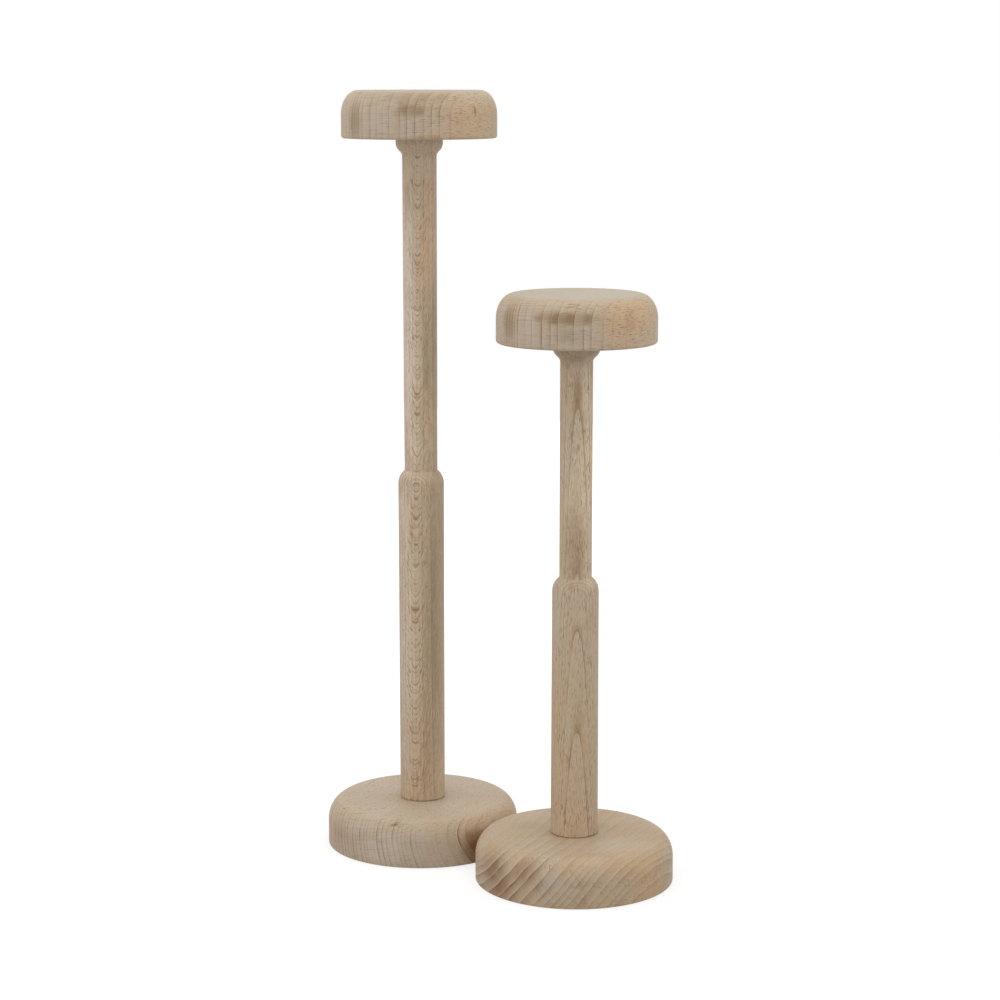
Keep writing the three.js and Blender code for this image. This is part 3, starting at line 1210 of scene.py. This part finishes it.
def cut_cross(bm, level):
    """Scores the flat face at this height with the outline of a cross, and pushes the cross in."""
    for reach in (cross_width / 2, cross_span / 2):
        for way in (Vector((1, 0, 0)), Vector((0, 1, 0))):
            for side in (-1, 1):
                flat = level_faces(bm, level)
                edges = {edge for face in flat for edge in face.edges}
                corners = {corner for face in flat for corner in face.verts}
                bmesh.ops.bisect_plane(
                    bm, geom=[*flat, *edges, *corners], plane_co=way * side * reach, plane_no=way
                )
    cross = []
    for face in level_faces(bm, level):
        middle = face.calc_center_median()
        near, far = sorted((abs(middle.x), abs(middle.y)))
        if near < cross_width / 2 and far < cross_span / 2:
            cross.append(face)
    edges = {edge for face in cross for edge in face.edges}
    pushed = bmesh.ops.extrude_face_region(bm, geom=[*cross, *edges])["geom"]
    corners = [item for item in pushed if isinstance(item, bmesh.types.BMVert)]
    bmesh.ops.translate(bm, verts=corners, vec=(0, 0, cross_depth))
    print("cross recess from", len(cross), "faces")


# %% The thread
screw_thread_pitch = 2.6 * MM
thread_steps_per_turn = 24
thread_fade = 4 * MM
thread_root = 0.2 * MM
thread_end_room = 1 * MM
thread_half_share = 0.22


def add_thread(bm, stand):
    """A triangle spun round the core while it climbs, and drawn in at both ends."""
    start = stand.screw_bottom + screw_plain_length
    end = stand.screw_top - thread_end_room
    turns = (end - start) / screw_thread_pitch
    steps = round(turns * thread_steps_per_turn)
    inner = screw_core_radius - thread_root
    half = screw_thread_pitch * thread_half_share
    corners = [
        bm.verts.new((inner, 0, start - half)),
        bm.verts.new((screw_thread_radius, 0, start)),
        bm.verts.new((inner, 0, start + half)),
    ]
    sides = [bm.edges.new(pair) for pair in zip(corners, corners[1:] + corners[:1])]
    first = bm.faces.new(corners)
    before = set(bm.verts) - set(corners)
    bmesh.ops.spin(
        bm, geom=[first, *sides, *corners], cent=(0, 0, 0), axis=(0, 0, 1),
        dvec=(0, 0, (end - start) / steps), angle=2 * math.pi * turns, steps=steps,
        use_merge=False, use_duplicate=False,
    )
    for corner in bm.verts:
        if corner in before:
            continue
        radius = math.hypot(corner.co.x, corner.co.y)
        grown = min(max((corner.co.z - start) / thread_fade, 0), 1)
        tip = min(max((stand.screw_top - corner.co.z) / screw_tip_length, 0), 1)
        wanted = (inner + (radius - inner) * grown) * tip
        corner.co.x *= wanted / radius
        corner.co.y *= wanted / radius
    print("thread of", round(turns, 1), "turns")


# %% The screws
def screw_skin(stand):
    """A screw: its body, the cross recess and the thread."""
    bm = screw_body(stand)
    cut_cross(bm, stand.screw_bottom)
    add_thread(bm, stand)
    bmesh.ops.recalc_face_normals(bm, faces=bm.faces)
    return bm


for stand in stands:
    finish_piece(screw_skin(stand), stand, "base_screw", zinc_plate)

# %% [markdown]
# ## The dowel pins
#
# A bought dowel pin has flutes along it, so that glue can rise, and chamfered ends, so that it
# finds its hole. A spin can't make flutes, because they run along the axis. So the pin starts as a
# circle whose points are drawn in twelve times round, and the circle is then pulled up.

# %% The wood of the dowel pins
dowel_rings = [
    (-5.2, 0.5), (-3.4, 0.7), (-1.9, 0.4), (0.2, 0.8), (1.7, 0.5), (3.6, 0.7), (5.3, 0.5),
]
dowel_board = Board(
    tall.axis, Vector((0, 0, 1)), heading(30), bow=80, fan=80, height=2500, rings=dowel_rings
)
dowel_beech = beech("dowel_beech", dowel_board, column_look)

# %% The dowel pins
dowel_chamfer = 0.8 * MM
dowel_flutes = 12
dowel_flute_depth = 0.35 * MM
points_per_flute = 10


def pull(bm, face, rise, shrink=0):
    """Pulls a flat end of the pin along, and draws it in by so much."""
    pulled = bmesh.ops.extrude_face_region(bm, geom=[face, *face.edges])["geom"]
    corners = [item for item in pulled if isinstance(item, bmesh.types.BMVert)]
    end = [item for item in pulled if isinstance(item, bmesh.types.BMFace)][0]
    radius = max(math.hypot(corner.co.x, corner.co.y) for corner in corners)
    share = (radius - shrink) / radius
    bmesh.ops.scale(bm, verts=corners, vec=(share, share, 1))
    bmesh.ops.translate(bm, verts=corners, vec=(0, 0, rise))
    return end


def dowel_skin(stand):
    """A fluted pin with chamfered ends."""
    bm = bmesh.new()
    count = dowel_flutes * points_per_flute
    bmesh.ops.create_circle(bm, cap_ends=True, segments=count, radius=stand.dowel_radius)
    for corner in bm.verts:
        angle = math.atan2(corner.co.y, corner.co.x)
        flute = dowel_flute_depth * (1 - math.cos(dowel_flutes * angle)) / 2
        corner.co *= (stand.dowel_radius - flute) / stand.dowel_radius
    bmesh.ops.translate(bm, verts=bm.verts, vec=(0, 0, stand.dowel_bottom + dowel_chamfer))
    lower = bm.faces[:][0]
    straight = stand.dowel_top - stand.dowel_bottom - 2 * dowel_chamfer
    upper = pull(bm, lower, straight)
    pull(bm, upper, dowel_chamfer, dowel_chamfer)
    bm.faces.ensure_lookup_table()
    bottom = min(bm.faces, key=lambda face: face.calc_center_median().z)
    pull(bm, bottom, -dowel_chamfer, dowel_chamfer)
    bmesh.ops.recalc_face_normals(bm, faces=bm.faces)
    return bm


for stand in stands:
    finish_piece(dowel_skin(stand), stand, "disc_dowel", dowel_beech)

# %% [markdown]
# ## Floor, backdrop and light
#
# The stands were pictured in a white tent: light from all sides, and most of it from above. The
# floor is plain and pale, and what lies behind it is white to the camera and to reflections. From
# below it is clear, and it lets light through to the faces that rest on it, so that the undersides
# show.

# %% The floor
floor_size = 3.2
floor_drop = 0.1 * MM

bm = bmesh.new()
bmesh.ops.create_grid(bm, x_segments=1, y_segments=1, size=floor_size / 2)
bmesh.ops.translate(bm, verts=bm.verts, vec=(0, 0, -floor_drop))
floor_mesh = bpy.data.meshes.new("floor")
bm.to_mesh(floor_mesh)
bm.free()
floor = bpy.data.objects.new("floor", floor_mesh)
bpy.context.scene.collection.objects.link(floor)
print("floor of", floor_size, "m")

# %% [markdown]
# Every ray that meets the floor says what it is. To the camera and in reflections the floor also
# glows, and turns white further out. A stronger lamp would whiten it too, but it would bleach the
# wood, and light that falls on things gets none of this glow. Rays from a face that rests on the
# floor are very short, and those pass through.


# %% What the eye sees
def seen_by_eye(nodes):
    """1 for what the camera, a reflection or a clear piece sees, and 0 for falling light."""
    seen = 0
    for kind in ("Is Camera Ray", "Is Glossy Ray", "Is Transmission Ray"):
        seen = nodes.node("ShaderNodeLightPath", {}, {}, kind) + seen
    return nodes.math("MINIMUM", seen, 1.0)


# %% The floor's paint
contact_reach = 0.3 * MM
floor_grey = (0.45, 0.45, 0.45, 1)
glow_near = (0.66, 0.66, 0.66, 1)
glow_limits = (0.2, 0.9)
pure_white = (1, 1, 1, 1)
pure_black = (0, 0, 0, 1)

floor_paint = bpy.data.materials.new("floor_paint")
nodes = Nodes(floor_paint)
far = nodes.rise(nodes.length(nodes.coordinates("Object")), *glow_limits)
ray_length = nodes.node("ShaderNodeLightPath", {}, {}, "Ray Length")
touching = nodes.math("LESS_THAN", ray_length, contact_reach)
matt = nodes.node("ShaderNodeBsdfDiffuse", {}, {"Color": floor_grey})
glow = nodes.mix(far, glow_near, pure_white)
glow = nodes.mix(seen_by_eye(nodes), pure_black, glow)
lift = nodes.node("ShaderNodeEmission", {}, {"Color": glow, "Strength": 1.0})
lit = nodes.node("ShaderNodeAddShader", {}, {0: matt, 1: lift})
clear = nodes.node("ShaderNodeBsdfTransparent", {}, {})
below = nodes.node("ShaderNodeNewGeometry", {}, {}, "Backfacing")
open_floor = nodes.math("MAXIMUM", below, touching)
surface = nodes.node("ShaderNodeMixShader", {}, {0: open_floor, 1: lit, 2: clear})
nodes.node("ShaderNodeOutputMaterial", {}, {"Surface": surface})
floor_mesh.materials.append(floor_paint)
print("floor_paint has", len(nodes.tree.nodes), "nodes")

# %% [markdown]
# The world is the cloth of the tent: a dim, slightly cool light on the wood, and plain white to the
# camera. Four soft boxes add the direction that cloth alone doesn't give. They hang above, to the
# left, to the right and beside the camera, and each is wide, so that no shadow has a hard edge.

# %% The world
tent_colour = (0.97, 0.98, 1, 1)
tent_strength = 0.42

world = bpy.data.worlds.new("white_tent")
bpy.context.scene.world = world
nodes = Nodes(world)
soft = nodes.node("ShaderNodeBackground", {}, {"Color": tent_colour, "Strength": tent_strength})
white = nodes.node("ShaderNodeBackground", {}, {"Color": pure_white, "Strength": 1.0})
both = nodes.node("ShaderNodeMixShader", {}, {0: seen_by_eye(nodes), 1: soft, 2: white})
nodes.node("ShaderNodeOutputWorld", {}, {"Surface": both})
print("white_tent lights the stands at", tent_strength)


# %% The lamps
def soft_box(name, place, aim, width, height, power):
    """A wide lamp with a cloth front, turned to face a point."""
    lamp = bpy.data.lights.new(name, "AREA")
    lamp.shape = "RECTANGLE"
    lamp.size = width
    lamp.size_y = height
    lamp.energy = power
    made = bpy.data.objects.new(name, lamp)
    made.location = place
    made.rotation_euler = (aim - place).to_track_quat("-Z", "Y").to_euler()
    bpy.context.scene.collection.objects.link(made)
    print(name, "gives", power, "W")


middle = Vector((0, 0, 0.25))
camera_right = heading(math.degrees(camera_heading))
camera_back = heading(math.degrees(camera_heading) - 90)
lamps = [
    ("lamp_above", Vector((0, 0, 1.4)), 2.0, 2.0, 14),
    ("lamp_left", camera_right * -1.5 + Vector((0, 0, 0.4)), 1.4, 1.4, 5.5),
    ("lamp_right", camera_right * 1.5 + Vector((0, 0, 0.4)), 1.4, 1.4, 4),
    ("lamp_front", camera_back * 1.7 + Vector((0, 0, 0.3)), 1.6, 1.2, 8),
]
for name, offset, width, height, power in lamps:
    soft_box(name, middle + offset, middle, width, height, power)

# %% [markdown]
# ## Last look
#
# The colours are shown as they are, with no film look.

# %% Colour
bpy.context.scene.view_settings.view_transform = "Standard"
